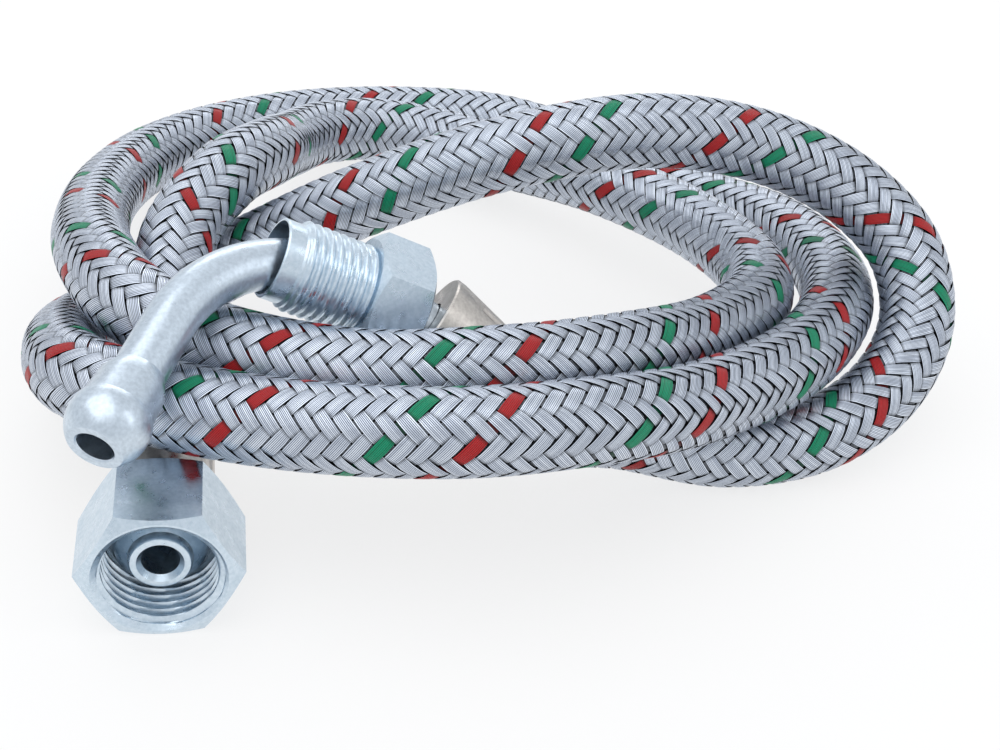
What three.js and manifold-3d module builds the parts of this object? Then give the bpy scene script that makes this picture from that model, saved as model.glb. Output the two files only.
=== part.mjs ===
// Oil burner hose, lying in a loose coil. Millimetres, +Z up, on the plane z = 0.
// End A is a straight seat nipple with a union nut, its mouth towards -Y.
// End B is a bent tube with a ball nose and a male threaded nut that slides on the tube.
import * as THREE from 'three';
import * as BufferGeometryUtils from 'three/addons/utils/BufferGeometryUtils.js';
import Module from 'manifold-3d';

const wasm = await Module();
wasm.setup();

// Hose
const HOSE_DIAMETER = 12;
const BRAID_WALL = 0.85;
const LINER_WALL = 1.35;
const HOSE_SIDES = 12;
const LINER_BORE_SIDES = 8;
const HOSE_STEPS = 74;
const HOSE_LEAD = 4;
const SEAT_GAP = 0.3;

// Crimp ferrules, the same at both ends but for the flare of the front lip
const FERRULE_LENGTH = 21;
const FERRULE_WALL = 0.6;
const FERRULE_FRONT_WALL = 1.2;
const FERRULE_LIP = 1.2;
const FERRULE_LIP_RISE = 0.25;
const FLARE_RISE = 1.2;
const FLARE_LENGTH = 3.2;
const CRIMP_COUNT = 8;
const CRIMP_WIDTH = 0.9;
const CRIMP_DEPTH = 0.3;
const CRIMP_LENGTH = 14;

// Hose tails inside the hose, and the stop rib that the hose end butts on
const TAIL_DIAMETER = 5.6;
const TAIL_BORE = 4;
const BARB_COUNT = 4;
const BARB_PITCH = 3.2;
const BARB_RISE = 0.3;
const STOP_RIB_DIAMETER = 9.6;
const STOP_RIB_LENGTH = 1.2;

// Union nut at end A
const NUT_A_FLATS = 19;
const NUT_A_LENGTH = 13.5;
const NUT_A_THREAD_BORE = 14.95;
const NUT_A_THREAD_DEPTH = 8.6;
const NUT_A_UNDERCUT = 0.5;
const NUT_A_COUNTERSINK = 1.25;
const NUT_A_BACK_WALL = 2.6;
const NUT_A_STANDOFF = 1.5;
const NUT_PLAY = 0.35;
const HEX_CHAMFER_ANGLE = 30;
const HEX_FACE_SHARE = 0.95;

// Seat nipple at end A
const FITTING_BORE = 5;
const NECK_DIAMETER = 7;
const NIPPLE_NECK_DIAMETER = 10.6;
const COLLAR_DIAMETER = 13.4;
const COLLAR_LENGTH = 2.6;
const NOSE_DIAMETER = 8.5;
const NOSE_RING_DIAMETER = 7.6;
const NOSE_SETBACK = 3.2;
const NOSE_ROUND = 1.3;

// Bent tube at end B
const TUBE_BEND_RADIUS = 24.8;
const TUBE_BEND_ANGLE = 91.5;
const TUBE_STUB = 5.8;
const TUBE_STRAIGHT = 17.1;
const BALL_DIAMETER = 10.8;
const BALL_RING_DIAMETER = 7.5;
const BALL_SHOULDER_DIAMETER = 9.6;
const BALL_SHOULDER_LENGTH = 6.4;
const BALL_NECK_LENGTH = 8.6;

// Male threaded nut on the bent tube
const NUT_B_FLATS = 16;
const NUT_B_HEX_LENGTH = 8.5;
const NUT_B_THREAD = 13.16;
const NUT_B_SHANK_LENGTH = 13.4;
const NUT_B_LEAD_DIAMETER = 11.6;
const NUT_B_LEAD_LENGTH = 2.4;
const NUT_B_STANDOFF = 0.4;
const NUT_B_PLAY = 0.4;
const NUT_B_TURN = 16;

const ROUND_SIDES = 36;
const TUBE_SIDES = 20;
const BORE_SIDES = 12;
const TUBE_STEPS = 28;

// Free route of the hose between the two ferrules, from end B to end A
const END_A_PLACE = [-52, -75.1];
const END_B_PLACE = [1.7, -44.5, 14.1];
const END_B_TURN = [-22.6, -54.1, -136];
const ROUTE = [
  [15, -43.6, 9.2], [31.7, -44.6, 6.2], [47.9, -41.6, 6.9], [60, -34.7, 11.1], [66.3, -26.1, 17.6],
  [65.8, -16.8, 25.2], [58.1, -9.4, 31.7], [44.2, -4.7, 37], [24.3, -4.3, 39.7], [1.2, -4.7, 35.7],
  [-20.8, -1.1, 25.3], [-36.6, 2.4, 15], [-48.7, -0.7, 9.5], [-59.2, -8.2, 8.7],
  [-65.6, -19.4, 11.7], [-66.3, -34.5, 17.7], [-62.9, -47.8, 22.4], [-53.1, -56, 24.1],
  [-34.6, -64.2, 25.7], [-13.9, -68.6, 27.4], [3.2, -65.2, 26.3], [23, -53.9, 21.4],
  [42.2, -38.5, 18.4], [53.9, -22.3, 17.1], [58.1, -4.2, 14.8], [55.4, 14.9, 11.8],
  [44.4, 34.4, 7.7], [28.8, 53.5, 7.1], [12.3, 64.9, 7.7], [-7.8, 69, 7.2], [-28.5, 66.7, 7],
  [-44.9, 58.3, 7.6], [-56.1, 44.9, 9.5], [-62.5, 24.4, 14], [-64.4, 0, 20], [-61.8, -23.1, 26.2],
  [-56, -37.5, 27.8], [-45.5, -46.3, 26.8], [-26.4, -53.6, 26.8], [-7, -54.3, 27.6],
  [10.7, -47.4, 25.1], [29.9, -32.7, 19.5], [40.9, -20.1, 17.4], [43.4, -7.7, 16.4],
  [38.2, 6.1, 16.4], [24.3, 25.1, 15.3], [8.9, 43.7, 11.1], [-3.5, 53.7, 9.9], [-15.3, 55.8, 10.5],
  [-25.7, 50.5, 11.9], [-32.1, 39.1, 15], [-36.2, 21.5, 22.1], [-43.4, 6.2, 25.3],
  [-50.5, -7.1, 21.8], [-52.3, -21.9, 14.3],
];

const zinc = (tint, roughness) =>
  new THREE.MeshStandardMaterial({ color: tint, roughness, metalness: 1 });
const ZINC = zinc(0xc9d3dc, 0.3);
const TUBE_ZINC = zinc(0xd2dae3, 0.35);
const FERRULE_STEEL = zinc(0xb0a9a0, 0.4);
const BRAID_WIRE = zinc(0xc3c8cf, 0.35);
const RUBBER = new THREE.MeshStandardMaterial({ color: 0x222326, roughness: 0.8, metalness: 0 });

// Closed solid from any three.js geometry, turned outwards if it came inside out
function solidOf(geometry) {
  const bare = geometry.clone();
  bare.deleteAttribute('normal');
  bare.deleteAttribute('uv');
  const merged = BufferGeometryUtils.mergeVertices(bare, 1e-4);
  const triVerts = Uint32Array.from(merged.index.array);
  const vertProperties = Float32Array.from(merged.attributes.position.array);
  if (signedVolume(vertProperties, triVerts) < 0) {
    for (let i = 0; i < triVerts.length; i += 3) {
      [triVerts[i], triVerts[i + 1]] = [triVerts[i + 1], triVerts[i]];
    }
  }
  return new wasm.Manifold(new wasm.Mesh({ numProp: 3, vertProperties, triVerts }));
}

function signedVolume(points, faces) {
  const corner = (k) => new THREE.Vector3().fromArray(points, 3 * faces[k]);
  let volume = 0;
  for (let i = 0; i < faces.length; i += 3) {
    volume += corner(i).dot(corner(i + 1).cross(corner(i + 2))) / 6;
  }
  return volume;
}

function geometryOf(solid) {
  const mesh = solid.getMesh();
  const geometry = new THREE.BufferGeometry();
  geometry.setAttribute('position', new THREE.BufferAttribute(mesh.vertProperties, 3));
  geometry.setIndex(new THREE.BufferAttribute(mesh.triVerts, 1));
  geometry.computeVertexNormals();
  return geometry;
}

function named(name, solid, material) {
  const mesh = new THREE.Mesh(geometryOf(solid), material);
  mesh.name = name;
  return mesh;
}

// Solid of revolution about Z from [radius, z] corners
function turned(profile, sides = ROUND_SIDES) {
  const corners = profile.map(([r, z]) => new THREE.Vector2(r, z));
  if (profile[0][0] > 0 || profile.at(-1)[0] > 0) corners.push(corners[0].clone());
  const geometry = new THREE.LatheGeometry(corners, sides);
  geometry.rotateX(Math.PI / 2);
  return solidOf(geometry);
}

function ring(radius, sides) {
  const corner = (_, i) => {
    const a = (2 * Math.PI * i) / sides;
    return new THREE.Vector2(radius * Math.cos(a), radius * Math.sin(a));
  };
  return Array.from({ length: sides }, corner);
}

// Round bar, or pipe where a bore is given, along a path
function swept(path, radius, sides, steps, boreRadius = 0, boreSides = sides) {
  const section = new THREE.Shape(ring(radius, sides));
  if (boreRadius > 0) section.holes.push(new THREE.Path(ring(boreRadius, boreSides)));
  return solidOf(new THREE.ExtrudeGeometry(section, { steps, extrudePath: path }));
}

// Hexagon prism with its corners turned off at both ends, a flat towards -Y
function chamferedHex(flats, length) {
  const corners = ring(flats / 2 / Math.cos(Math.PI / 6), 6);
  const outline = new THREE.Shape(corners);
  const prism = new THREE.ExtrudeGeometry(outline, { depth: length, bevelEnabled: false });
  const reach = flats;
  const face = HEX_FACE_SHARE * flats / 2;
  const drop = (reach - face) * Math.tan(THREE.MathUtils.degToRad(HEX_CHAMFER_ANGLE));
  const bounds = [[0, 0], [face, 0], [reach, drop], [reach, length - drop], [face, length], [0, length]];
  return solidOf(prism).intersect(turned(bounds));
}

// Levels along both fittings, from the ferrule's mouth on the hose side
const ferruleBore = HOSE_DIAMETER / 2 + SEAT_GAP;
const ferruleRadius = ferruleBore + FERRULE_WALL;
const ferruleFront = FERRULE_LENGTH - FERRULE_FRONT_WALL;
const ribTop = ferruleFront - SEAT_GAP;
const ribBase = ribTop - STOP_RIB_LENGTH;
const hoseEnd = ribBase - SEAT_GAP;
const neckRadius = NECK_DIAMETER / 2;

// Crimp ferrule: lip at the hose side, crimped barrel, front wall closing on the neck
function ferrule(flare) {
  const lip = ferruleRadius + FERRULE_LIP_RISE;
  const hole = neckRadius + SEAT_GAP;
  const shell = turned([
    [ferruleBore, 0],
    [lip, 0],
    [lip, FERRULE_LIP],
    [ferruleRadius, 2 * FERRULE_LIP],
    [ferruleRadius, FERRULE_LENGTH - FLARE_LENGTH],
    [ferruleRadius + flare, FERRULE_LENGTH - FERRULE_FRONT_WALL],
    [ferruleRadius + flare, FERRULE_LENGTH],
    [hole, FERRULE_LENGTH],
    [hole, ferruleFront],
    [ferruleBore, ferruleFront],
  ]);
  const jaw = new THREE.CylinderGeometry(CRIMP_WIDTH, CRIMP_WIDTH, CRIMP_LENGTH, BORE_SIDES);
  jaw.rotateX(Math.PI / 2);
  jaw.translate(ferruleRadius + CRIMP_WIDTH - CRIMP_DEPTH, 0, 2 * FERRULE_LIP + CRIMP_LENGTH / 2);
  let crimped = shell;
  for (let i = 0; i < CRIMP_COUNT; i += 1) {
    const turn = ((i + 0.5) * 2 * Math.PI) / CRIMP_COUNT;
    crimped = crimped.subtract(solidOf(jaw.clone().rotateZ(turn)));
  }
  return crimped;
}

// Barbed hose tail with its stop rib, up to the ferrule's front, without the bore
function hoseTail() {
  const radius = TAIL_DIAMETER / 2;
  const profile = [[0, SEAT_GAP], [radius - BARB_RISE, SEAT_GAP]];
  for (let i = 0; i < BARB_COUNT; i += 1) {
    const z = 2 * SEAT_GAP + (i + 1) * BARB_PITCH;
    profile.push([radius + BARB_RISE, z], [radius, z]);
  }
  const rib = STOP_RIB_DIAMETER / 2;
  profile.push([radius, ribBase], [rib, ribBase], [rib, ribTop], [neckRadius, ribTop]);
  profile.push([neckRadius, FERRULE_LENGTH], [0, FERRULE_LENGTH]);
  return turned(profile);
}

function tailBore() {
  const radius = TAIL_BORE / 2;
  const wide = FITTING_BORE / 2;
  return turned([[0, -1], [radius, -1], [radius, ribTop], [wide, FERRULE_LENGTH], [0, FERRULE_LENGTH]]);
}

// Levels of end A
const nutBack = FERRULE_LENGTH + NUT_A_STANDOFF;
const nutMouth = nutBack + NUT_A_LENGTH;
const nutShoulder = nutBack + NUT_A_BACK_WALL;
const noseTip = nutMouth - NOSE_SETBACK;
const nippleNeck = NIPPLE_NECK_DIAMETER / 2;

function unionNut() {
  const thread = NUT_A_THREAD_BORE / 2;
  const hole = nippleNeck + NUT_PLAY;
  const relief = thread + NUT_A_UNDERCUT;
  const threadEnd = nutMouth - NUT_A_THREAD_DEPTH;
  const inside = turned([
    [0, nutBack - 1],
    [hole, nutBack - 1],
    [hole, nutShoulder],
    [relief, nutShoulder],
    [relief, threadEnd],
    [thread, threadEnd],
    [thread, nutMouth - NUT_A_COUNTERSINK],
    [thread + NUT_A_COUNTERSINK + 1, nutMouth + 1],
    [0, nutMouth + 1],
  ]);
  const body = chamferedHex(NUT_A_FLATS, NUT_A_LENGTH).translate([0, 0, nutBack]);
  return body.subtract(inside);
}

// Nipple: tail, neck through the nut, collar that the nut pulls on, rounded nose with its flat ring
function seatNipple() {
  const collar = COLLAR_DIAMETER / 2;
  const nose = NOSE_DIAMETER / 2;
  const noseRing = NOSE_RING_DIAMETER / 2;
  const collarBase = nutShoulder + SEAT_GAP;
  const collarTop = collarBase + COLLAR_LENGTH;
  const profile = [
    [0, FERRULE_LENGTH],
    [neckRadius, FERRULE_LENGTH],
    [neckRadius, FERRULE_LENGTH + SEAT_GAP],
    [nippleNeck, FERRULE_LENGTH + SEAT_GAP],
    [nippleNeck, collarBase],
    [collar, collarBase],
    [collar, collarTop],
    [nose, collarTop + 0.4 * (collar - nose)],
    [nose, noseTip - NOSE_ROUND],
    [nose - 0.3 * (nose - noseRing), noseTip - 0.4 * NOSE_ROUND],
    [noseRing, noseTip],
    [0, noseTip],
  ];
  const wide = FITTING_BORE / 2;
  const start = FERRULE_LENGTH - 0.01;
  const bore = turned([[0, start], [wide, start], [wide, noseTip + 1], [0, noseTip + 1]]);
  return hoseTail().add(turned(profile)).subtract(tailBore()).subtract(bore);
}

// Centreline of the bent tube: stub out of the ferrule, elbow towards +X, straight to the ball
class TubeLine extends THREE.Curve {
  constructor(start, finish = 0) {
    super();
    this.start = start;
    this.bend = THREE.MathUtils.degToRad(TUBE_BEND_ANGLE);
    this.bendStart = FERRULE_LENGTH + TUBE_STUB;
    this.bendLength = TUBE_BEND_RADIUS * this.bend;
    this.length = this.bendStart + this.bendLength + TUBE_STRAIGHT + finish;
  }

  // Point and direction at a distance from the ferrule's mouth
  at(distance) {
    const turn = THREE.MathUtils.clamp((distance - this.bendStart) / TUBE_BEND_RADIUS, 0, this.bend);
    const before = Math.min(distance, this.bendStart);
    const after = Math.max(distance - this.bendStart - this.bendLength, 0);
    const direction = new THREE.Vector3(Math.sin(turn), 0, Math.cos(turn));
    const point = new THREE.Vector3(TUBE_BEND_RADIUS * (1 - Math.cos(turn)), 0,
      before + TUBE_BEND_RADIUS * Math.sin(turn));
    return { point: point.addScaledVector(direction, after), direction };
  }

  getPoint(t) {
    return this.at(this.start + t * (this.length - this.start)).point;
  }
}

// Ball nose: end ring, ball, tapered shoulder and neck cone down to the tube
function ballNose() {
  const ball = BALL_DIAMETER / 2;
  const ringRadius = BALL_RING_DIAMETER / 2;
  const first = Math.asin(ringRadius / ball);
  const last = Math.PI - Math.asin(BALL_SHOULDER_DIAMETER / BALL_DIAMETER);
  const profile = [[0, ball * Math.cos(first)]];
  const arcSteps = 12;
  for (let i = 0; i <= arcSteps; i += 1) {
    const a = first + ((last - first) * i) / arcSteps;
    profile.push([ball * Math.sin(a), ball * Math.cos(a)]);
  }
  profile.push([(BALL_SHOULDER_DIAMETER + NECK_DIAMETER) / 4 + 0.4, -BALL_SHOULDER_LENGTH]);
  profile.push([neckRadius, -BALL_NECK_LENGTH], [0, -BALL_NECK_LENGTH]);
  return turned(profile);
}

function bentTube() {
  const line = new TubeLine(ribTop);
  const end = line.at(line.length);
  const nose = ballNose().rotate([0, TUBE_BEND_ANGLE, 0]).translate(end.point.toArray());
  const pipe = swept(line, neckRadius, TUBE_SIDES, TUBE_STEPS);
  const through = new TubeLine(FERRULE_LENGTH - 0.01, BALL_DIAMETER);
  const bore = swept(through, FITTING_BORE / 2, BORE_SIDES, TUBE_STEPS);
  return hoseTail().add(pipe).add(nose).subtract(tailBore()).subtract(bore);
}

// Seat of the male nut when its back is at a distance along the tube: its axis lies along the
// chord of the tube that it covers, midway between the tube's outermost sides inside the nut
function nutSeatAt(back) {
  const line = new TubeLine(0);
  const length = NUT_B_HEX_LENGTH + NUT_B_SHANK_LENGTH;
  const origin = line.at(back).point;
  const chord = line.at(back + length).point.sub(origin).normalize();
  const across = new THREE.Vector3(chord.z, 0, -chord.x);
  const sides = [];
  for (let s = back - neckRadius; s < back + length + neckRadius; s += neckRadius / 16) {
    const { point, direction } = line.at(s);
    const normal = new THREE.Vector3(direction.z, 0, -direction.x);
    for (const side of [-neckRadius, neckRadius]) {
      const edge = point.clone().addScaledVector(normal, side).sub(origin);
      if (edge.dot(chord) > 0 && edge.dot(chord) < length) sides.push(edge.dot(across));
    }
  }
  const low = Math.min(...sides);
  const high = Math.max(...sides);
  return {
    origin: origin.clone().addScaledVector(across, (high + low) / 2),
    tilt: Math.atan2(chord.x, chord.z),
    bore: (high - low) / 2 + NUT_B_PLAY,
  };
}

// The tilted back face of the nut stands off the ferrule by its lowest edge
function nutSeat() {
  const face = HEX_FACE_SHARE * NUT_B_FLATS / 2;
  const lowest = (tilt) => FERRULE_LENGTH + NUT_B_STANDOFF + face * Math.sin(tilt);
  const near = nutSeatAt(FERRULE_LENGTH).tilt;
  return nutSeatAt(lowest(nutSeatAt(lowest(near)).tilt));
}

function maleNut(bore) {
  const lead = NUT_B_LEAD_DIAMETER / 2;
  const thread = NUT_B_THREAD / 2;
  const length = NUT_B_HEX_LENGTH + NUT_B_SHANK_LENGTH;
  const shank = turned([
    [0, 1],
    [thread, 1],
    [thread, length - NUT_B_LEAD_LENGTH],
    [lead, length - NUT_B_LEAD_LENGTH + thread - lead],
    [lead, length],
    [0, length],
  ]);
  const hole = turned([[0, -1], [bore, -1], [bore, length + 1], [0, length + 1]]);
  return chamferedHex(NUT_B_FLATS, NUT_B_HEX_LENGTH).add(shank).subtract(hole);
}

// Centreline of the hose: straight in each ferrule and a little way out, a spline between them,
// with its stations at even steps along the spline
class HoseLine extends THREE.Curve {
  constructor(endA, endB) {
    super();
    const inside = (end, z) => new THREE.Vector3(0, 0, z).applyMatrix4(end.matrix);
    const free = [inside(endB, 0), inside(endB, -HOSE_LEAD)];
    free.push(...ROUTE.map((p) => new THREE.Vector3(...p)));
    free.push(inside(endA, -HOSE_LEAD), inside(endA, 0));
    const spline = new THREE.CatmullRomCurve3(free, false, 'centripetal');
    const steps = HOSE_STEPS - 2;
    const even = Array.from({ length: steps + 1 }, (_, i) => i / steps);
    const ahead = even.map((u) => spline.getTangentAt(u));
    const between = even.map((u) => spline.getPointAt(u));
    this.stations = [inside(endB, hoseEnd), ...between, inside(endA, hoseEnd)];
    this.directions = [ahead[0], ...ahead, ahead.at(-1)];
  }

  getPointAt(u) {
    return this.stations[Math.round(u * HOSE_STEPS)];
  }

  getTangentAt(u) {
    return this.directions[Math.round(u * HOSE_STEPS)].clone();
  }
}

function endAGroup() {
  const end = new THREE.Group();
  end.position.set(END_A_PLACE[0], END_A_PLACE[1] + nutMouth, NUT_A_FLATS / 2);
  end.rotation.x = Math.PI / 2;
  end.add(named('union_nut', unionNut(), ZINC));
  end.add(named('seat_nipple', seatNipple(), ZINC));
  end.add(named('ferrule_a', ferrule(0), FERRULE_STEEL));
  end.updateMatrix();
  return end;
}

function endBGroup() {
  const end = new THREE.Group();
  end.position.set(...END_B_PLACE);
  end.rotation.set(...END_B_TURN.map(THREE.MathUtils.degToRad));
  end.add(named('bent_tube', bentTube(), TUBE_ZINC));
  end.add(named('ferrule_b', ferrule(FLARE_RISE), FERRULE_STEEL));
  const seat = nutSeat();
  const nut = named('male_nut', maleNut(seat.bore), ZINC);
  nut.position.copy(seat.origin);
  nut.rotation.set(0, seat.tilt, THREE.MathUtils.degToRad(NUT_B_TURN));
  end.add(nut);
  end.updateMatrix();
  return end;
}

function hose(line) {
  const outer = HOSE_DIAMETER / 2;
  const inner = outer - BRAID_WALL;
  const liner = inner - SEAT_GAP;
  const bore = liner - LINER_WALL;
  return [
    named('wire_braid', swept(line, outer, HOSE_SIDES, HOSE_STEPS, inner), BRAID_WIRE),
    named('rubber_liner', swept(line, liner, HOSE_SIDES, HOSE_STEPS, bore, LINER_BORE_SIDES), RUBBER),
  ];
}

const oilHose = new THREE.Group();
const endA = endAGroup();
const endB = endBGroup();
oilHose.add(endA, endB, ...hose(new HoseLine(endA, endB)));

export default oilHose;
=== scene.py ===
# Looks of the oil burner hose: braid, crimped ferrules, plated fittings, studio.
# Lengths are in millimetres and angles in radians, unless a comment says otherwise.
import math

import bpy
import numpy as np
from mathutils import Matrix, Vector


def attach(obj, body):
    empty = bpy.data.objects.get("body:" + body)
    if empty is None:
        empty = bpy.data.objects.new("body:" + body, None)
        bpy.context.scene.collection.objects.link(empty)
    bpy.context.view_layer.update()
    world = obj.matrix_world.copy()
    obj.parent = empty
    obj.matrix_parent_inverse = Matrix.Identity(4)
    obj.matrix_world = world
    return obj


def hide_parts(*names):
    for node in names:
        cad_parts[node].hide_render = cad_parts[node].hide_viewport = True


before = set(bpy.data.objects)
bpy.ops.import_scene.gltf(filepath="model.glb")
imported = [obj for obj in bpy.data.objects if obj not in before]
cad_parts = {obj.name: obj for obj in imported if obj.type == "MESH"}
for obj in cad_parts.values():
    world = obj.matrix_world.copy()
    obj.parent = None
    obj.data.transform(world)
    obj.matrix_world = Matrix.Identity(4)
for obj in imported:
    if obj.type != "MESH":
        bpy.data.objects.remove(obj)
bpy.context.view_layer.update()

MM = 0.001
PHOTO_WIDTH = 1000
SENSOR_WIDTH = 36

# Camera of the photograph, in the part's frame; the clip distances are in metres
CAMERA_PLACE = (-43.2, -236.7, 150.2)
CAMERA_YAW = 0.19848
CAMERA_PITCH = 0.58654
CAMERA_ROLL = 0.10268
CAMERA_FOCAL_PIXELS = 1634.6
CAMERA_CLIP = (0.01, 20)

# Hose and the places of its ferrules' mouths, as in the part's source, with turns in degrees
HOSE_DIAMETER = 12
HOSE_LEAD = 4
ROUTE_STEPS = 60
HIDDEN_STEPS = 40
END_A_PLACE = (-52, -39.1, 9.5)
END_B_PLACE = (1.7, -44.5, 14.1)
END_B_TURN = (-22.6, -54.1, -136)

# Points of the route from end B to end A, in metres, as in the part's source
ROUTE = [
    (0.015, -0.0436, 0.0092), (0.0317, -0.0446, 0.0062), (0.0479, -0.0416, 0.0069),
    (0.06, -0.0347, 0.0111), (0.0663, -0.0261, 0.0176), (0.0658, -0.0168, 0.0252),
    (0.0581, -0.0094, 0.0317), (0.0442, -0.0047, 0.037), (0.0243, -0.0043, 0.0397),
    (0.0012, -0.0047, 0.0357), (-0.0208, -0.0011, 0.0253), (-0.0366, 0.0024, 0.015),
    (-0.0487, -0.0007, 0.0095), (-0.0592, -0.0082, 0.0087), (-0.0656, -0.0194, 0.0117),
    (-0.0663, -0.0345, 0.0177), (-0.0629, -0.0478, 0.0224), (-0.0531, -0.056, 0.0241),
    (-0.0346, -0.0642, 0.0257), (-0.0139, -0.0686, 0.0274), (0.0032, -0.0652, 0.0263),
    (0.023, -0.0539, 0.0214), (0.0422, -0.0385, 0.0184), (0.0539, -0.0223, 0.0171),
    (0.0581, -0.0042, 0.0148), (0.0554, 0.0149, 0.0118), (0.0444, 0.0344, 0.0077),
    (0.0288, 0.0535, 0.0071), (0.0123, 0.0649, 0.0077), (-0.0078, 0.069, 0.0072),
    (-0.0285, 0.0667, 0.007), (-0.0449, 0.0583, 0.0076), (-0.0561, 0.0449, 0.0095),
    (-0.0625, 0.0244, 0.014), (-0.0644, 0, 0.02), (-0.0618, -0.0231, 0.0262),
    (-0.056, -0.0375, 0.0278), (-0.0455, -0.0463, 0.0268), (-0.0264, -0.0536, 0.0268),
    (-0.007, -0.0543, 0.0276), (0.0107, -0.0474, 0.0251), (0.0299, -0.0327, 0.0195),
    (0.0409, -0.0201, 0.0174), (0.0434, -0.0077, 0.0164), (0.0382, 0.0061, 0.0164),
    (0.0243, 0.0251, 0.0153), (0.0089, 0.0437, 0.0111), (-0.0035, 0.0537, 0.0099),
    (-0.0153, 0.0558, 0.0105), (-0.0257, 0.0505, 0.0119), (-0.0321, 0.0391, 0.015),
    (-0.0362, 0.0215, 0.0221), (-0.0434, 0.0062, 0.0253), (-0.0505, -0.0071, 0.0218),
    (-0.0523, -0.0219, 0.0143),
]

# Braid: flat bands of wires, half of them wound each way, two over and two under. A band is
# squeezed a little where it passes between over and under.
BANDS_EACH_WAY = 12
BRAID_LEAD = 32
STEPS_PER_TURN = 72
BAND_WIDTH = 1.75
BAND_THICKNESS = 0.24
BAND_EDGE_DROP = 0.05
NARROW_BAND_WIDTH = 1.56
BAND_SQUEEZE = 0.05
SQUEEZE_START = 0.2
SQUEEZE_RANGE = 0.5
WIRES_PER_BAND = 8
BAND_TONE_STEP = 37.0
WEAVE_RISE = 0.16
WEAVE_HOLD = 1.5
RED_BAND = 0
GREEN_BAND = 8
NARROW_BANDS = (1, 5, 9)
BAND_ACROSS = (-1, -0.55, 0.55, 1, 0.5, -0.5)
BAND_CAPS = ((0, 1, 2, 3), (0, 3, 4, 5))
BAND_RUN_IN = 3
STEEL_PIECES = 5

# Liner under the braid; its ends stop short of the hose's ends
LINER_RADIUS = 5.45
LINER_INSET = 0.3
LINER_TAIL_PLAY = 0.3
LINER_STEP = 1.2
LINER_SIDES = 24

# By distance from end B: twist of the braid in degrees, and the number of bands that it runs
# ahead of an even lead where the hose is bent in its coil
BRAID_TWIST = [(0, 42), (200, 42), (330, 36), (700, 40), (830, 54), (1016, 56)]
BRAID_AHEAD = [
    (0, 6.6), (38, 6.5), (60, 5.8), (120, 4.95), (150, 4.85), (190, 5.7), (265, 5.0),
    (297, 6.3), (325, 6.9), (345, 7.2), (364, 6.3), (385, 5.3), (431, 4.3), (585, -0.3),
    (670, -2.6), (706, -1.8), (742, -1.8), (779, -3.1), (800, -2.8), (845, -0.7),
    (972, -4.9), (1016, -5.2),
]
AHEAD_EASE = 12
AHEAD_SAMPLES = 7

# Crimp ferrules
FERRULE_LENGTH = 21
FERRULE_BORE = 6.3
FERRULE_RADIUS = 6.9
FERRULE_FRONT_WALL = 1.2
FERRULE_NECK_HOLE = 3.8
FERRULE_LIP = 1.2
FERRULE_LIP_RISE = 0.25
FLARE_RISE = 1.2
FLARE_LENGTH = 10
CRIMP_COUNT = 8
CRIMP_HALF_WIDTH = 0.65
CRIMP_DEPTH = 0.3
CRIMP_LENGTH = 14
CRIMP_FADE = 0.4
BARREL_ROWS = 40
BARREL_START = 0.3
BARREL_OVERRUN = 0.5
FLARE_RIM = 0.2
FERRULE_CHAMFER = 0.25
BORE_MARGIN = 0.1
FERRULE_SIDES = 240
HOSE_END = 18

# Union nut and seat nipple at end A
NUT_A_FLATS = 19
NUT_A_BACK = 22.5
NUT_A_LENGTH = 13.5
NUT_A_HOLE = 5.65
NUT_A_SHOULDER = 2.6
NUT_A_THREAD_DEPTH = 8.6
NUT_A_THREAD_MINOR = 14.95
NUT_A_THREAD_MAJOR = 16.66
NUT_A_COUNTERSINK = 1.25
NUT_A_THREAD_START = 0.1
NUT_A_THREAD_END = 0.2
NUT_A_THREAD_ROWS = 64
NUT_SIDES = 180
THREAD_PITCH = 1.337
THREAD_FLAT = 0.1
HEX_FACE_SHARE = 0.95
HEX_CHAMFER_SLOPE = math.tan(math.radians(30))
NIPPLE_START = 0.3
NIPPLE_NECK = 5.3
COLLAR_RADIUS = 6.7
COLLAR_START = 25.4
COLLAR_LENGTH = 2.6
COLLAR_EDGE = 0.3
NOSE_TIP = 32.8
NOSE_RADIUS = 4.25
NOSE_RING_RADIUS = 3.8
NOSE_ROUND = 1.3
NOSE_WAIST = 0.1
NOSE_ROWS = 8
NOSE_CHAMFER_WIDTH = 0.6
NOSE_CHAMFER_DEPTH = 0.8
NIPPLE_SIDES = 120
FITTING_BORE = 2.5

# Barbed tail inside the hose, the same on the nipple and on the tube
TAIL_RADIUS = 2.8
TAIL_BORE = 2
TAIL_START = 0.3
TAIL_TIP_CHAMFER = 0.3
BARB_START = 0.6
BARB_PITCH = 3.2
BARB_RISE = 0.3
BARB_COUNT = 4
TAIL_FLANGE_START = 18.3
TAIL_FLANGE_RADIUS = 4.8
TAIL_END = 19.5

# Bent tube and male nut at end B
TUBE_RADIUS = 3.5
TUBE_BEND_RADIUS = 24.8
TUBE_BEND_ANGLE = math.radians(91.5)
TUBE_BEND_START = 26.8
TUBE_STRAIGHT = 17.1
TUBE_END = TUBE_BEND_START + TUBE_BEND_RADIUS * TUBE_BEND_ANGLE + TUBE_STRAIGHT
TUBE_ROWS = 70
TUBE_BORE_ROWS = 50
TUBE_SIDES = 72
BALL_RADIUS = 5.4
BALL_RING_RADIUS = 3.75
BALL_SHOULDER_RADIUS = 4.8
BALL_SHOULDER_LENGTH = 6.4
BALL_SHOULDER_RISE = 0.4
BALL_NECK_LENGTH = 8.6
BALL_ROWS = 36
BALL_CHAMFER_WIDTH = 0.2
BALL_CHAMFER_DEPTH = 0.25
BALL_BORE_LEAD = 1
NUT_B_FLATS = 16
NUT_B_HEX_LENGTH = 8.5
NUT_B_SHANK_LENGTH = 13.4
NUT_B_THREAD_MAJOR = 13.16
NUT_B_THREAD_MINOR = 12.2
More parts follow.
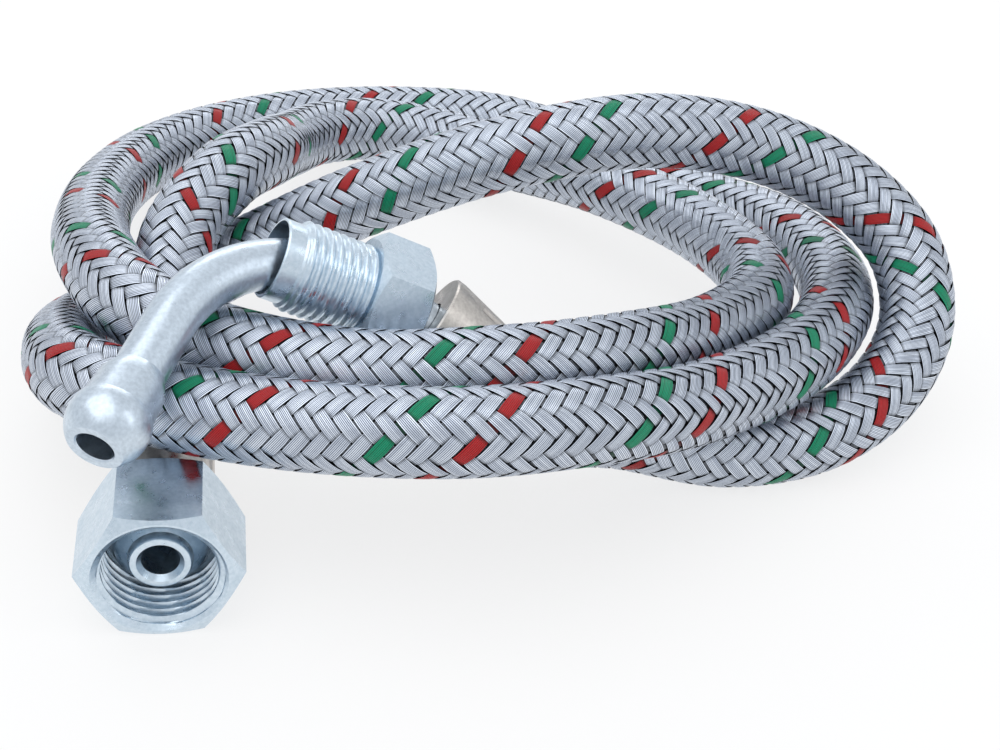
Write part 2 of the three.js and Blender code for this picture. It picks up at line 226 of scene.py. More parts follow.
NUT_B_LEAD_RADIUS = 5.8
NUT_B_LEAD_LENGTH = 3.4
NUT_B_LEAD_CHAMFER = 0.8
NUT_B_NECK_STEP = 0.1
NUT_B_NECK_LENGTH = 0.3
NUT_B_THREAD_ROWS = 108
NUT_B_ROW_GAP = 0.1
NUT_B_TIP_LENGTH = 0.2
NUT_B_TIP_CHAMFER = 0.15
NUT_B_STANDOFF = 0.4
NUT_B_PLAY = 0.4
NUT_B_TURN = math.radians(16)
SEAT_STEPS_PER_RADIUS = 16

# Floor's size in metres, and the share of it that is white to the camera, in reflections and
# through clear pieces; the rest keeps the shadow
FLOOR_SIZE = 12
FLOOR_WHITE_SHARE = 0.75

# Edges sharper than this aren't smoothed; turning marks to a millimetre of the profile
SHARP_ANGLE = math.radians(24)
MARKS_PER_MM = 9.0


# Camera

def place_camera():
    sin_yaw, cos_yaw = math.sin(CAMERA_YAW), math.cos(CAMERA_YAW)
    sin_pitch, cos_pitch = math.sin(CAMERA_PITCH), math.cos(CAMERA_PITCH)
    forward = Vector((sin_yaw * cos_pitch, cos_yaw * cos_pitch, -sin_pitch))
    level = Vector((cos_yaw, -sin_yaw, 0))
    upright = level.cross(forward)
    right = math.cos(CAMERA_ROLL) * level + math.sin(CAMERA_ROLL) * upright
    up = -math.sin(CAMERA_ROLL) * level + math.cos(CAMERA_ROLL) * upright
    data = bpy.data.cameras.new("camera")
    data.sensor_width = SENSOR_WIDTH
    data.lens = CAMERA_FOCAL_PIXELS / PHOTO_WIDTH * SENSOR_WIDTH
    data.clip_start, data.clip_end = CAMERA_CLIP
    camera = bpy.data.objects.new("camera", data)
    camera.matrix_world = Matrix((
        (right.x, up.x, -forward.x, CAMERA_PLACE[0] * MM),
        (right.y, up.y, -forward.y, CAMERA_PLACE[1] * MM),
        (right.z, up.z, -forward.z, CAMERA_PLACE[2] * MM),
        (0, 0, 0, 1),
    ))
    bpy.context.scene.collection.objects.link(camera)
    bpy.context.scene.camera = camera


# Places of the two fittings: local +Z runs from the ferrule's mouth out to the fitting

def end_a_matrix():
    return Matrix.Translation(Vector(END_A_PLACE)) @ Matrix.Rotation(math.pi / 2, 4, "X")


def end_b_matrix():
    turn = Matrix.Identity(4)
    for angle, axis in zip(END_B_TURN, "XYZ"):
        turn = turn @ Matrix.Rotation(math.radians(angle), 4, axis)
    return Matrix.Translation(Vector(END_B_PLACE)) @ turn


# Centreline of the hose: one segment of a centripetal curve through the route's points

def segment_points(p0, p1, p2, p3, steps):
    d0 = max(np.linalg.norm(p1 - p0), 1e-6) ** 0.5
    d1 = max(np.linalg.norm(p2 - p1), 1e-6) ** 0.5
    d2 = max(np.linalg.norm(p3 - p2), 1e-6) ** 0.5
    t1 = ((p1 - p0) / d0 - (p2 - p0) / (d0 + d1) + (p2 - p1) / d1) * d1
    t2 = ((p2 - p1) / d1 - (p3 - p1) / (d1 + d2) + (p3 - p2) / d2) * d1
    t = np.linspace(0, 1, steps, endpoint=False)[:, None]
    cubic = 2 * p1 - 2 * p2 + t1 + t2
    square = -3 * p1 + 3 * p2 - 2 * t1 - t2
    return p1 + t * (t1 + t * (square + t * cubic))


class Hose:
    # The route and a frame that is carried along it, read by distance from end B's ferrule mouth
    def __init__(self):
        inside_b = [end_b_matrix() @ Vector((0, 0, z)) for z in (0, -HOSE_LEAD)]
        inside_a = [end_a_matrix() @ Vector((0, 0, z)) for z in (-HOSE_LEAD, 0)]
        route = [Vector(p) / MM for p in ROUTE]
        knots = [np.array(p) for p in (*inside_b, *route, *inside_a)]
        knots = [2 * knots[0] - knots[1], *knots, 2 * knots[-1] - knots[-2]]
        runs = [segment_points(*knots[i:i + 4], ROUTE_STEPS) for i in range(len(knots) - 3)]
        line = np.vstack([*runs, knots[-2][None]])
        start = np.array(end_b_matrix() @ Vector((0, 0, HOSE_END)))
        finish = np.array(end_a_matrix() @ Vector((0, 0, HOSE_END)))
        share = np.linspace(0, 1, HIDDEN_STEPS, endpoint=False)[:, None]
        before = start + share * (line[0] - start)
        after = finish + share[::-1] * (line[-1] - finish)
        self.points = np.vstack([before, line, after])
        steps = np.linalg.norm(np.diff(self.points, axis=0), axis=1)
        self.along = np.concatenate([[0], np.cumsum(steps)]) - HOSE_END
        self.length = self.along[-1] - HOSE_END
        self.tangents = np.gradient(self.points, self.along, axis=0)
        self.tangents /= np.linalg.norm(self.tangents, axis=1)[:, None]
        self.normals = self.twisted(self.carried_normals())
        self.binormals = np.cross(self.tangents, self.normals)

    def carried_normals(self):
        normal = np.cross(self.tangents[0], (0, 0, 1))
        normals = []
        for tangent in self.tangents:
            normal = normal - tangent * (normal @ tangent)
            normal = normal / np.linalg.norm(normal)
            normals.append(normal)
        return np.array(normals)

    def twisted(self, normals):
        places, turns = np.array(BRAID_TWIST).T
        turn = np.radians(np.interp(self.along, places, turns))[:, None]
        return np.cos(turn) * normals + np.sin(turn) * np.cross(self.tangents, normals)

    def read(self, table, s):
        return np.stack([np.interp(s, self.along, table[:, k]) for k in range(3)], -1)

    # Points at a distance along, an angle round and a radius, all of one shape
    def surface(self, s, angle, radius):
        side = np.cos(angle)[..., None] * self.read(self.normals, s)
        side = side + np.sin(angle)[..., None] * self.read(self.binormals, s)
        return self.read(self.points, s) + radius[..., None] * side


# Mesh making

def mesh_object(name, points, quads, material, attributes):
    mesh = bpy.data.meshes.new(name)
    mesh.vertices.add(len(points))
    mesh.vertices.foreach_set("co", (points * MM).astype(np.float32).ravel())
    mesh.loops.add(quads.size)
    mesh.loops.foreach_set("vertex_index", quads.astype(np.int32).ravel())
    mesh.polygons.add(len(quads))
    mesh.polygons.foreach_set("loop_start", np.arange(0, quads.size, 4, dtype=np.int32))
    mesh.update(calc_edges=True)
    mesh.validate()
    for key, values in attributes.items():
        layer = mesh.attributes.new(key, "FLOAT", "POINT")
        layer.data.foreach_set("value", values.astype(np.float32).ravel())
    mesh.shade_smooth()
    mesh.set_sharp_from_angle(angle=SHARP_ANGLE)
    mesh.materials.append(material)
    piece = bpy.data.objects.new(name, mesh)
    bpy.context.scene.collection.objects.link(piece)
    return piece


# Quads of a grid of points, rows by columns, closed round the columns and, if asked, the rows
def ring_quads(rows, columns, close_rows=False):
    last = rows if close_rows else rows - 1
    i, j = np.meshgrid(np.arange(last), np.arange(columns), indexing="ij")
    a = i * columns + j
    b = i * columns + (j + 1) % columns
    c = ((i + 1) % rows) * columns + (j + 1) % columns
    d = ((i + 1) % rows) * columns + j
    return np.stack([a, b, c, d], -1).reshape(-1, 4)


# Closed body from a loop of (radius, level) points, which may change with the angle. A line
# bends it along a centreline, and the profile's length goes with it as the attribute "along".
def revolved(name, loop, material, matrix, around, line):
    angles = 2 * np.pi * np.arange(around) / around
    radius, level = loop(angles)
    step = np.hypot(np.diff(radius, axis=0), np.diff(level, axis=0))
    along = np.vstack([np.zeros(around), np.cumsum(step, axis=0)])
    x, y = radius * np.cos(angles), radius * np.sin(angles)
    if line is None:
        local = np.stack([x, y, level], -1)
    else:
        local = line(x, y, level)
    place = np.array(matrix)
    points = local.reshape(-1, 3) @ place[:3, :3].T + place[:3, 3]
    quads = ring_quads(len(radius), around, close_rows=True)
    return mesh_object(name, points, quads, material, {"along": along})


# Same loop at every angle
def plain_loop(corners):
    table = np.array(corners, float)

    def loop(angles):
        ones = np.ones(len(angles))
        return np.outer(table[:, 0], ones), np.outer(table[:, 1], ones)
    return loop


# Braid: a band lies over for two crossings and under for the next two

def weave_height(crossing):
    wave = np.cos(np.pi * (crossing - 0.5) / 2)
    return WEAVE_RISE * np.clip(WEAVE_HOLD * wave, -1, 1)


# Turns that the braid has made by a distance along the hose
def braid_turns(s):
    places, ahead = np.array(BRAID_AHEAD).T
    eases = np.linspace(-1, 1, AHEAD_SAMPLES) * AHEAD_EASE
    near = [np.interp(s + ease, places, ahead) for ease in eases]
    return s / BRAID_LEAD + np.mean(near, axis=0) / BANDS_EACH_WAY


# Points of one band, rows along the hose by columns round the band's section, and how far
# each point is lifted out of the weave, from 0 to 1
def band_points(hose, index, direction, width):
    steps = int((hose.length + 2 * BAND_RUN_IN) / BRAID_LEAD * STEPS_PER_TURN)
    centre = np.linspace(-BAND_RUN_IN, hose.length + BAND_RUN_IN, steps)[:, None]
    across = np.array(BAND_ACROSS)
    drop = np.array([BAND_EDGE_DROP, 0, 0, BAND_EDGE_DROP, BAND_THICKNESS, BAND_THICKNESS])
    middle = HOSE_DIAMETER / 2 - WEAVE_RISE
    slant = math.atan(2 * math.pi * middle / BRAID_LEAD)
    turns = braid_turns(centre)
    crossing = 2 * (index + direction * BANDS_EACH_WAY * turns)
    height = direction * weave_height(crossing)
    between = -np.cos(np.pi * (crossing - 0.5))
    squeeze = np.clip((between - SQUEEZE_START) / SQUEEZE_RANGE, 0, 1)
    offset = across * (1 - BAND_SQUEEZE * squeeze) * width / 2
    along = centre + offset * math.sin(slant)
    angle = 2 * np.pi * (index / BANDS_EACH_WAY + direction * turns)
    angle = angle - direction * offset * math.cos(slant) / middle
    radius = middle + height - drop + 0 * offset
    lift = 0.5 + height / WEAVE_RISE / 2 + 0 * offset
    return hose.surface(along, angle, radius), lift


# One piece of several bands, with the attributes that the wires' material reads
def band_piece(name, hose, bands, material):
    points, quads, across, tone, lifts = [], [], [], [], []
    count = 0
    share = (np.array(BAND_ACROSS) + 1) / 2
    for index, direction, width in bands:
        grid, lift = band_points(hose, index, direction, width)
        rows, columns = grid.shape[:2]
        sides = ring_quads(rows, columns)
        first = np.array(BAND_CAPS)
        last = first[:, ::-1] + (rows - 1) * columns
        quads.append(np.vstack([sides, first, last]) + count)
        points.append(grid.reshape(-1, 3))
        across.append(np.tile(share, rows))
        lifts.append(lift.ravel())
        tone.append(np.full(rows * columns, index + (0.5 if direction < 0 else 0)))
        count += rows * columns
    attributes = {"across": np.concatenate(across), "band": np.concatenate(tone),
                  "lift": np.concatenate(lifts)}
    piece = mesh_object(name, np.vstack(points), np.vstack(quads), material, attributes)
    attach(piece, "hose")
    return piece


def make_braid(hose, looks):
    steel = []
    for index in range(BANDS_EACH_WAY):
        if index not in (RED_BAND, GREEN_BAND):
            steel.append((index, -1, BAND_WIDTH))
        narrow = index in NARROW_BANDS
        steel.append((index, 1, NARROW_BAND_WIDTH if narrow else BAND_WIDTH))
    for k in range(STEEL_PIECES):
        bands = steel[k::STEEL_PIECES]
        piece = band_piece(f"braid_steel_{k + 1}", hose, bands, looks["wire"])
        if k == 0:
            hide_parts("wire_braid")
    red = band_piece("braid_red", hose, [(RED_BAND, -1, BAND_WIDTH)], looks["red"])
    green = band_piece("braid_green", hose, [(GREEN_BAND, -1, BAND_WIDTH)], looks["green"])


def make_liner(hose, looks):
    end = HOSE_END - LINER_INSET
    s = np.linspace(-end, hose.length + end, int(hose.length / LINER_STEP))
    angle = 2 * np.pi * np.arange(LINER_SIDES) / LINER_SIDES
    angle = angle + 0 * s[:, None]
    outside = hose.surface(s[:, None] + 0 * angle, angle, LINER_RADIUS + 0 * angle)
    bore_radius = TAIL_RADIUS + LINER_TAIL_PLAY + 0 * angle
    bore = hose.surface(s[::-1, None] + 0 * angle, angle, bore_radius)
    points = np.concatenate([outside, bore]).reshape(-1, 3)
    quads = ring_quads(2 * len(s), LINER_SIDES, close_rows=True)
    piece = mesh_object("rubber_tube", points, quads, looks["rubber"], {})
    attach(piece, "hose")
    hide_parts("rubber_liner")
    path = hose.read(hose.points, s) * MM
    hose.read(hose.points, np.array(0.0)) * MM


# Crimp ferrule: lip, barrel pressed in by the crimping jaws, widened to a cone by the flare,
# and front wall on the neck
def ferrule_loop(flare):
    front = FERRULE_LENGTH - FERRULE_FRONT_WALL
    barrel = [(FERRULE_BORE, 0), (FERRULE_RADIUS + FERRULE_LIP_RISE, 0),
              (FERRULE_RADIUS + FERRULE_LIP_RISE, FERRULE_LIP), (FERRULE_RADIUS, 2 * FERRULE_LIP)]
    crimp_start = 2 * FERRULE_LIP
    crimp_end = crimp_start + CRIMP_LENGTH
    flare_start = FERRULE_LENGTH - FLARE_LENGTH
    flare_end = front - FLARE_RIM
    for z in np.linspace(crimp_start + BARREL_START, crimp_end + BARREL_OVERRUN, BARREL_ROWS):
        share = max(0, z - flare_start) / (flare_end - flare_start)
        barrel.append((FERRULE_RADIUS + flare * share, z))
    rim = FERRULE_RADIUS + flare
    ends = [(rim, flare_end), (rim, FERRULE_LENGTH - FERRULE_CHAMFER),
            (rim - FERRULE_CHAMFER, FERRULE_LENGTH), (FERRULE_NECK_HOLE, FERRULE_LENGTH),
            (FERRULE_NECK_HOLE, front), (FERRULE_BORE, front)]
    table = np.array(barrel + ends)

    def loop(angles):
        radius = np.outer(table[:, 0], np.ones(len(angles)))
        level = np.outer(table[:, 1], np.ones(len(angles)))
        pitch = 2 * np.pi / CRIMP_COUNT
        off = (angles / pitch) % 1 - 0.5
        reach = np.abs(off) * pitch * FERRULE_RADIUS / CRIMP_HALF_WIDTH
        dent = CRIMP_DEPTH * np.clip(1 - reach ** 2, 0, 1)
        inside = np.clip((level - crimp_start) / CRIMP_FADE, 0, 1)
        inside = inside * np.clip((crimp_end - level) / CRIMP_FADE, 0, 1)
        outer = radius > FERRULE_BORE + BORE_MARGIN
        return radius - np.where(outer, dent * inside, 0), level
    return loop


# Nuts

def hex_radius(angles, flats):
    corner = np.pi / 3
    return flats / 2 / np.cos(angles % corner - corner / 2)


# Height of the thread's crest, from 0 to 1, with a short flat at the top and at the root
def thread_share(level, angles):
    turn = (level / THREAD_PITCH - angles / (2 * np.pi)) % 1
    wave = 0.5 - 0.5 * np.cos(2 * np.pi * turn)
    return np.clip((1 + 2 * THREAD_FLAT) * wave - THREAD_FLAT, 0, 1)


def union_nut_loop(angles):
    back = NUT_A_BACK
    mouth = back + NUT_A_LENGTH
    face = HEX_FACE_SHARE * NUT_A_FLATS / 2
    corner = hex_radius(angles, NUT_A_FLATS)
    drop = (corner - face) * HEX_CHAMFER_SLOPE
    minor = NUT_A_THREAD_MINOR / 2
    depth = (NUT_A_THREAD_MAJOR - NUT_A_THREAD_MINOR) / 2
    ones = np.ones(len(angles))
    rows = [(NUT_A_HOLE * ones, back * ones), (face * ones, back * ones),
            (corner, back + drop), (corner, mouth - drop), (face * ones, mouth * ones),
            ((minor + NUT_A_COUNTERSINK) * ones, mouth * ones)]
    start = mouth - NUT_A_THREAD_START
    for level in np.linspace(start, mouth - NUT_A_THREAD_DEPTH, NUT_A_THREAD_ROWS):
        thread = minor + depth * thread_share(level, angles)
        flare = minor + NUT_A_COUNTERSINK - (mouth - level)
        rows.append((np.maximum(thread, flare), level * ones))
    end = mouth - NUT_A_THREAD_DEPTH - NUT_A_THREAD_END
    relief = minor + depth
    rows += [(relief * ones, end * ones), (relief * ones, (back + NUT_A_SHOULDER) * ones),
             (NUT_A_HOLE * ones, (back + NUT_A_SHOULDER) * ones)]
    return np.array([r for r, _ in rows]), np.array([z for _, z in rows])


def male_nut_loop(bore):
    length = NUT_B_HEX_LENGTH + NUT_B_SHANK_LENGTH
    face = HEX_FACE_SHARE * NUT_B_FLATS / 2
    minor = NUT_B_THREAD_MINOR / 2
    depth = (NUT_B_THREAD_MAJOR - NUT_B_THREAD_MINOR) / 2
    hexagon = NUT_B_HEX_LENGTH
    neck = hexagon + NUT_B_NECK_LENGTH
    thread_end = length - NUT_B_LEAD_LENGTH + NUT_B_LEAD_CHAMFER
    lead = NUT_B_LEAD_RADIUS

    def loop(angles):
        corner = hex_radius(angles, NUT_B_FLATS)
        drop = (corner - face) * HEX_CHAMFER_SLOPE
        ones = np.ones(len(angles))
        rows = [(bore * ones, 0 * ones), (face * ones, 0 * ones), (corner, drop),
                (corner, hexagon - drop), (face * ones, hexagon * ones),
                ((minor + NUT_B_NECK_STEP) * ones, hexagon * ones), (minor * ones, neck * ones)]
        for level in np.linspace(neck + NUT_B_ROW_GAP, thread_end, NUT_B_THREAD_ROWS):
            thread = minor + depth * thread_share(level, angles)
            chamfer = lead + max(thread_end - level, 0)
            rows.append((np.minimum(thread, chamfer), level * ones))
        rows += [(lead * ones, (thread_end + NUT_B_ROW_GAP) * ones),
                 (lead * ones, (length - NUT_B_TIP_LENGTH) * ones),
                 ((lead - NUT_B_TIP_CHAMFER) * ones, length * ones),
                 (bore * ones, length * ones)]
        return np.array([r for r, _ in rows]), np.array([z for _, z in rows])
    return loop


# Bent tube's centreline by distance from the ferrule's mouth
def tube_at(distance):
    turn = np.clip((distance - TUBE_BEND_START) / TUBE_BEND_RADIUS, 0, TUBE_BEND_ANGLE)
    before = np.minimum(distance, TUBE_BEND_START)
    bend_end = TUBE_BEND_START + TUBE_BEND_RADIUS * TUBE_BEND_ANGLE
    after = np.maximum(distance - bend_end, 0)
    x = TUBE_BEND_RADIUS * (1 - np.cos(turn)) + np.sin(turn) * after
    z = before + TUBE_BEND_RADIUS * np.sin(turn) + np.cos(turn) * after
    return x, z, turn


# Seat of the male nut on the tube: its axis lies along the chord that it covers. Gives its
# place, its tilt and the radius of its bore.
def nut_seat_at(back):
    length = NUT_B_HEX_LENGTH + NUT_B_SHANK_LENGTH
    x, z, _ = tube_at(np.array([back, back + length]))
    origin = np.array([x[0], z[0]])
    chord = np.array([x[1], z[1]]) - origin
    chord = chord / np.linalg.norm(chord)
    across = np.array([chord[1], -chord[0]])
    step = TUBE_RADIUS / SEAT_STEPS_PER_RADIUS
    s = np.arange(back - TUBE_RADIUS, back + length + TUBE_RADIUS, step)
    x, z, turn = tube_at(s)
    sides = []
    for side in (-TUBE_RADIUS, TUBE_RADIUS):
        edge = np.stack([x + side * np.cos(turn), z - side * np.sin(turn)], -1) - origin
        covered = (edge @ chord > 0) & (edge @ chord < length)
        sides.append((edge @ across)[covered])
    sides = np.concatenate(sides)
    low, high = sides.min(), sides.max()
    place = origin + across * (low + high) / 2
    return place, math.atan2(chord[0], chord[1]), (high - low) / 2 + NUT_B_PLAY


# Seat at the standoff from the ferrule, in two rounds because the tilt changes with the place
def nut_seat():
    face = HEX_FACE_SHARE * NUT_B_FLATS / 2
    back = FERRULE_LENGTH
    for _ in range(2):
        back = FERRULE_LENGTH + NUT_B_STANDOFF + face * math.sin(nut_seat_at(back)[1])
    return nut_seat_at(back)


def tail_corners():
    corners = [(TAIL_BORE, TAIL_START), (TAIL_RADIUS - TAIL_TIP_CHAMFER, TAIL_START)]
    for i in range(BARB_COUNT):
        level = BARB_START + BARB_PITCH * (i + 1)
        corners += [(TAIL_RADIUS + BARB_RISE, level), (TAIL_RADIUS, level)]
    corners += [(TAIL_RADIUS, TAIL_FLANGE_START), (TAIL_FLANGE_RADIUS, TAIL_FLANGE_START),
                (TAIL_FLANGE_RADIUS, TAIL_END), (TUBE_RADIUS, TAIL_END)]
    return corners


def nipple_corners():
    top = COLLAR_START + COLLAR_LENGTH
    start = FERRULE_LENGTH + NIPPLE_START
    dome = NOSE_TIP - NOSE_ROUND - top
    corners = [(TUBE_RADIUS, start), (NIPPLE_NECK, start), (NIPPLE_NECK, COLLAR_START),
               (COLLAR_RADIUS, COLLAR_START), (COLLAR_RADIUS, top - COLLAR_EDGE)]
    for t in np.linspace(0.1, 1, NOSE_ROWS):
        reach = (COLLAR_RADIUS - NOSE_RADIUS) * math.cos(t * math.pi / 2)
        corners.append((NOSE_RADIUS - NOSE_WAIST + reach, top + dome * t))
    for a in np.linspace(0, 1, NOSE_ROWS) * math.pi / 2:
        corners.append((NOSE_RING_RADIUS + (NOSE_RADIUS - NOSE_RING_RADIUS) * math.cos(a),
                        NOSE_TIP - NOSE_ROUND + NOSE_ROUND * math.sin(a)))
    corners += [(FITTING_BORE + NOSE_CHAMFER_WIDTH, NOSE_TIP),
                (FITTING_BORE, NOSE_TIP - NOSE_CHAMFER_DEPTH),
                (FITTING_BORE, FERRULE_LENGTH), (TAIL_BORE, TAIL_END)]
    return corners


def tube_corners():
    neck = TUBE_END - BALL_NECK_LENGTH
    corners = [(TUBE_RADIUS, s) for s in np.linspace(FERRULE_LENGTH, neck, TUBE_ROWS)]
    shoulder = (BALL_SHOULDER_RADIUS + TUBE_RADIUS) / 2 + BALL_SHOULDER_RISE
    corners += [(shoulder, TUBE_END - BALL_SHOULDER_LENGTH)]
    first = math.asin(BALL_RING_RADIUS / BALL_RADIUS)
    last = math.pi - math.asin(BALL_SHOULDER_RADIUS / BALL_RADIUS)
    for a in np.linspace(last, first, BALL_ROWS):
        corners.append((BALL_RADIUS * math.sin(a), TUBE_END + BALL_RADIUS * math.cos(a)))
    ring = TUBE_END + BALL_RADIUS * math.cos(first)
    corners += [(FITTING_BORE + BALL_CHAMFER_WIDTH, ring),
                (FITTING_BORE, ring - BALL_CHAMFER_DEPTH)]
    bore = np.linspace(ring - BALL_BORE_LEAD, FERRULE_LENGTH, TUBE_BORE_ROWS)
    corners += [(FITTING_BORE, s) for s in bore]
    corners += [(TAIL_BORE, TAIL_END)]
    return corners


# Points of the straight tube carried to the bent one
def tube_line(x, y, level):
    centre_x, centre_z, turn = tube_at(level)
    return np.stack([centre_x + x * np.cos(turn), y, centre_z - x * np.sin(turn)], -1)


def make_fittings(looks):
    place_a, place_b = end_a_matrix(), end_b_matrix()
    seat, tilt, bore = nut_seat()
    nut_place = place_b @ Matrix.Translation((seat[0], 0, seat[1]))
    nut_place = nut_place @ Matrix.Rotation(tilt, 4, "Y") @ Matrix.Rotation(NUT_B_TURN, 4, "Z")
    nipple = plain_loop(tail_corners() + nipple_corners())
    tube = plain_loop(tail_corners() + tube_corners())
    flat, flared = ferrule_loop(0), ferrule_loop(FLARE_RISE)
    male = male_nut_loop(bore)
    plan = [
        ("union_nut", "union_nut", union_nut_loop, "zinc", place_a, NUT_SIDES),
        ("seat_nipple", "hose", nipple, "zinc", place_a, NIPPLE_SIDES),
        ("ferrule_a", "hose", flat, "ferrule", place_a, FERRULE_SIDES),
        ("bent_tube", "hose", tube, "tube", place_b, TUBE_SIDES),
        ("ferrule_b", "hose", flared, "ferrule", place_b, FERRULE_SIDES),
        ("male_nut", "male_nut", male, "zinc", nut_place, NUT_SIDES),
    ]
    made = {}
    for node, body, loop, look, place, around in plan:
        line = tube_line if node == "bent_tube" else None
        piece = revolved(node + "_turned", loop, looks[look], place, around, line)
        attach(piece, body)
        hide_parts(node)
        made[node] = piece
    return made


# Materials

def new_material(name):
    material = bpy.data.materials.new(name)
    material.use_nodes = True
    tree = material.node_tree
    shader = tree.nodes["Principled BSDF"]
    return material, tree, shader


# New node with its settings, and each input either linked to a socket or set to a value
def linked(tree, kind, inputs, **settings):
    node = tree.nodes.new(kind)
    for key, value in settings.items():
        setattr(node, key, value)
    for key, value in inputs.items():
        if isinstance(value, bpy.types.NodeSocket):
            tree.links.new(value, node.inputs[key])
        else:
            node.inputs[key].default_value = value
    return node


def noise(tree, scale, detail=3.0):
    place = linked(tree, "ShaderNodeTexCoord", {})
    return linked(tree, "ShaderNodeTexNoise", {"Vector": place.outputs["Object"], "Scale": scale,
                                               "Detail": detail}).outputs["Fac"]


def math_node(tree, operation, a, b=0.0):
    return linked(tree, "ShaderNodeMath", {0: a, 1: b}, operation=operation).outputs[0]


# Value carried from one range to another, and held at its ends
def spread(tree, value, low, high, from_low=0.0, from_high=1.0):
    return linked(tree, "ShaderNodeMapRange", {"Value": value, "From Min": from_low,
                  "From Max": from_high, "To Min": low, "To Max": high}).outputs["Result"]


def colour_mix(tree, share, a, b):
    node = linked(tree, "ShaderNodeMix", {0: share}, data_type="RGBA")
    for key, value in ((6, a), (7, b)):
        if isinstance(value, bpy.types.NodeSocket):
            tree.links.new(value, node.inputs[key])
        else:
            node.inputs[key].default_value = (*value, 1)
    return node.outputs[2]


def add_bump(tree, shader, height, distance):
    bump = linked(tree, "ShaderNodeBump", {"Height": height, "Distance": distance,
                                           "Strength": 1.0})
    tree.links.new(bump.outputs["Normal"], shader.inputs["Normal"])


# Plated turned metal: speckled tint, blotched gloss and fine turning marks along the profile
def plated(name, light, dark, roughness, marks):
    material, tree, shader = new_material(name)
    shader.inputs["Metallic"].default_value = 1
    speckle = noise(tree, scale=1800, detail=6)
    speckle = spread(tree, speckle, low=0, high=1, from_low=0.35, from_high=0.65)
    tree.links.new(colour_mix(tree, speckle, dark, light), shader.inputs["Base Color"])
    gloss = spread(tree, noise(tree, scale=420), low=roughness - 0.07, high=roughness + 0.09,
                   from_low=0.3, from_high=0.7)
    tree.links.new(gloss, shader.inputs["Roughness"])
    along = linked(tree, "ShaderNodeAttribute", {}, attribute_name="along").outputs["Fac"]
    turned = math_node(tree, "MULTIPLY", along, MARKS_PER_MM)
    ridge = linked(tree, "ShaderNodeTexNoise", {"W": turned, "Scale": 1.0, "Detail": 3.0},
                   noise_dimensions="1D").outputs["Fac"]
    grain = noise(tree, scale=3800, detail=2)
    height = math_node(tree, "ADD", math_node(tree, "MULTIPLY", ridge, marks), grain)
    add_bump(tree, shader, height, distance=0.006 * MM)
    return material


# Flat band of wires: each wire is a ridge, with a line of painted shade where two of them meet
# that is as dark as the groove says. The tone changes across the band and from band to band,
# and painted shade darkens the band where it dips under the others.
def wire_band(name, light, dark, metallic, roughness, groove):
    material, tree, shader = new_material(name)
    shader.inputs["Metallic"].default_value = metallic
    shader.inputs["Specular IOR Level"].default_value = 0.3
    across = linked(tree, "ShaderNodeAttribute", {}, attribute_name="across").outputs["Fac"]
    band = linked(tree, "ShaderNodeAttribute", {}, attribute_name="band").outputs["Fac"]
    wires = math_node(tree, "MULTIPLY", across, float(WIRES_PER_BAND))
    half_turn = math_node(tree, "MULTIPLY", wires, math.pi)
    ridge = math_node(tree, "ABSOLUTE", math_node(tree, "SINE", half_turn))
    round_ridge = math_node(tree, "POWER", ridge, 0.6)
    number = math_node(tree, "FLOOR", math_node(tree, "ADD", wires,
                       math_node(tree, "MULTIPLY", band, BAND_TONE_STEP)))
    tone = linked(tree, "ShaderNodeTexWhiteNoise", {"W": number}, noise_dimensions="1D")
    tint = colour_mix(tree, tone.outputs["Value"], light, dark)
    lift = linked(tree, "ShaderNodeAttribute", {}, attribute_name="lift").outputs["Fac"]
    # Painted shade: the base colour goes dark in the groove where two wires meet, down to the
    # groove value
    painted_groove_shade = spread(tree, ridge, low=groove, high=1.0, from_low=0.1, from_high=0.8)
    # Painted shade: the base colour darkens where the band dips under the crossing bands, read
    # from its lift
    depth = spread(tree, lift, low=0.25, high=1.0, from_low=0.4, from_high=0.7)
    shade = math_node(tree, "MULTIPLY", painted_groove_shade, depth)
    lined = linked(tree, "ShaderNodeVectorMath", {0: tint, "Scale": shade}, operation="SCALE")
    tree.links.new(lined.outputs["Vector"], shader.inputs["Base Color"])
    gloss = spread(tree, noise(tree, scale=700, detail=2), low=roughness - 0.06,
                   high=roughness + 0.08, from_low=0.3, from_high=0.7)
    tree.links.new(gloss, shader.inputs["Roughness"])
    add_bump(tree, shader, round_ridge, distance=0.05 * MM)
    return material


def rubber():
    material, tree, shader = new_material("liner_rubber_fine")
    dark, light = (0.012, 0.012, 0.014), (0.03, 0.03, 0.033)
    tint = colour_mix(tree, noise(tree, scale=900), dark, light)
    tree.links.new(tint, shader.inputs["Base Color"])
    shader.inputs["Roughness"].default_value = 0.65
    add_bump(tree, shader, noise(tree, scale=2500), distance=0.02 * MM)
    return material


def make_looks():
    return {
        "zinc": plated("zinc_plate", light=(0.68, 0.78, 0.87), dark=(0.58, 0.69, 0.78),
                       roughness=0.3, marks=0.7),
        "tube": plated("zinc_tube", light=(0.66, 0.75, 0.84), dark=(0.55, 0.63, 0.71),
                       roughness=0.33, marks=0.3),
        "ferrule": plated("satin_steel", light=(0.62, 0.59, 0.55), dark=(0.5, 0.47, 0.44),
                          roughness=0.33, marks=0.5),
        "wire": wire_band("galvanised_wire", light=(0.82, 0.89, 1.0), dark=(0.56, 0.62, 0.73),
                          metallic=1, roughness=0.36, groove=0.0),
        "red": wire_band("red_wire", light=(0.5, 0.015, 0.018), dark=(0.36, 0.008, 0.01),
                         metallic=0, roughness=0.35, groove=0.3),
        "green": wire_band("green_wire", light=(0.001, 0.3, 0.15), dark=(0.001, 0.19, 0.09),
                           metallic=0, roughness=0.35, groove=0.3),
        "rubber": rubber(),
    }


# Studio, in metres and watts

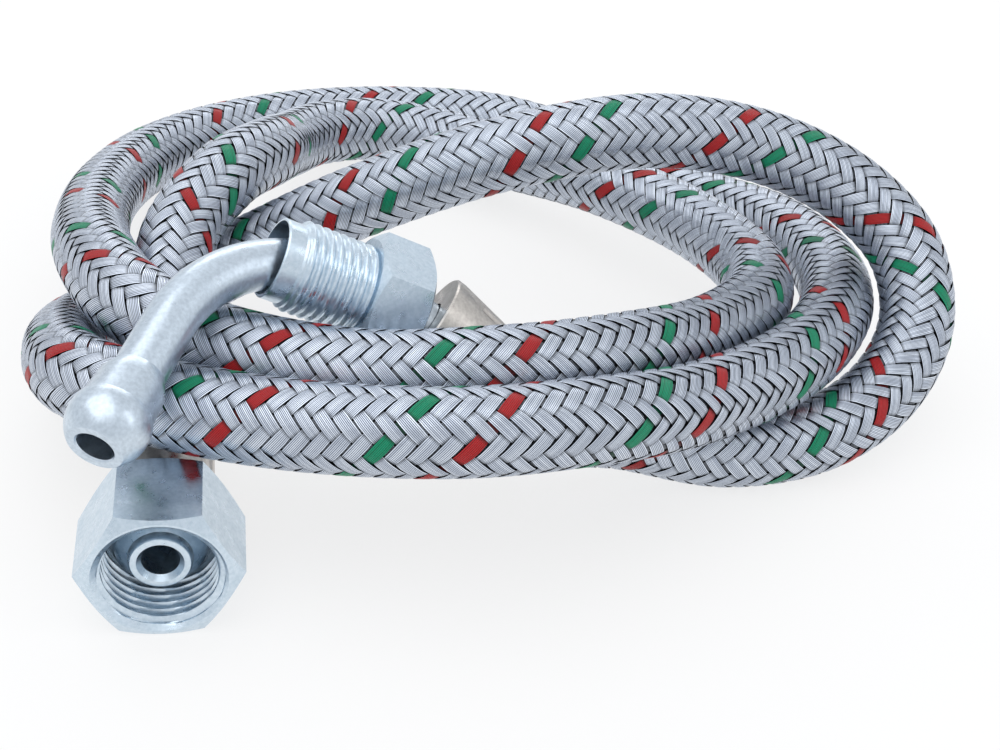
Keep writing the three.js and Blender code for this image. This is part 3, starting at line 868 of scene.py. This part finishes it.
def make_floor():
    bpy.ops.mesh.primitive_plane_add(size=FLOOR_SIZE, location=(0, 0, 0))
    floor = bpy.context.object
    floor.name = "floor"
    material, tree, shader = new_material("floor_white")
    shader.inputs["Base Color"].default_value = (0.92, 0.92, 0.92, 1)
    shader.inputs["Roughness"].default_value = 0.9
    shader.inputs["Specular IOR Level"].default_value = 0.1
    rays = linked(tree, "ShaderNodeLightPath", {}).outputs
    seen = math_node(tree, "MAXIMUM", rays["Is Camera Ray"], rays["Is Glossy Ray"])
    seen = math_node(tree, "MAXIMUM", seen, rays["Is Transmission Ray"])
    white = linked(tree, "ShaderNodeEmission", {"Color": (1, 1, 1, 1), "Strength": 1.0})
    share = math_node(tree, "MULTIPLY", seen, FLOOR_WHITE_SHARE)
    mix = linked(tree, "ShaderNodeMixShader", {0: share, 1: shader.outputs["BSDF"],
                                               2: white.outputs["Emission"]})
    tree.links.new(mix.outputs["Shader"], tree.nodes["Material Output"].inputs["Surface"])
    floor.data.materials.append(material)


# Lamp that is aimed at the middle of the floor
def softbox(name, place, size, power):
    data = bpy.data.lights.new(name, "AREA")
    data.shape = "RECTANGLE"
    data.size, data.size_y = size
    data.energy = power
    lamp = bpy.data.objects.new(name, data)
    lamp.location = place
    lamp.rotation_euler = (-Vector(place)).to_track_quat("-Z", "Y").to_euler()
    bpy.context.scene.collection.objects.link(lamp)


def make_studio():
    make_floor()
    world = bpy.data.worlds.new("studio")
    world.use_nodes = True
    tree = world.node_tree
    background = tree.nodes["Background"]
    background.inputs["Color"].default_value = (0.95, 0.97, 1, 1)
    background.inputs["Strength"].default_value = 0.85
    bpy.context.scene.world = world
    softbox("key", place=(-0.25, -0.1, 0.8), size=(1.1, 0.8), power=2.6)
    softbox("side", place=(0.8, -0.3, 0.5), size=(0.3, 0.6), power=0.6)
    softbox("back", place=(0.1, 0.9, 0.5), size=(0.8, 0.25), power=1.3)
    bpy.context.scene.view_settings.view_transform = "Standard"


place_camera()
hose_line = Hose()
surface_looks = make_looks()
fitting_pieces = make_fittings(surface_looks)
make_liner(hose_line, surface_looks)
make_braid(hose_line, surface_looks)
make_studio()
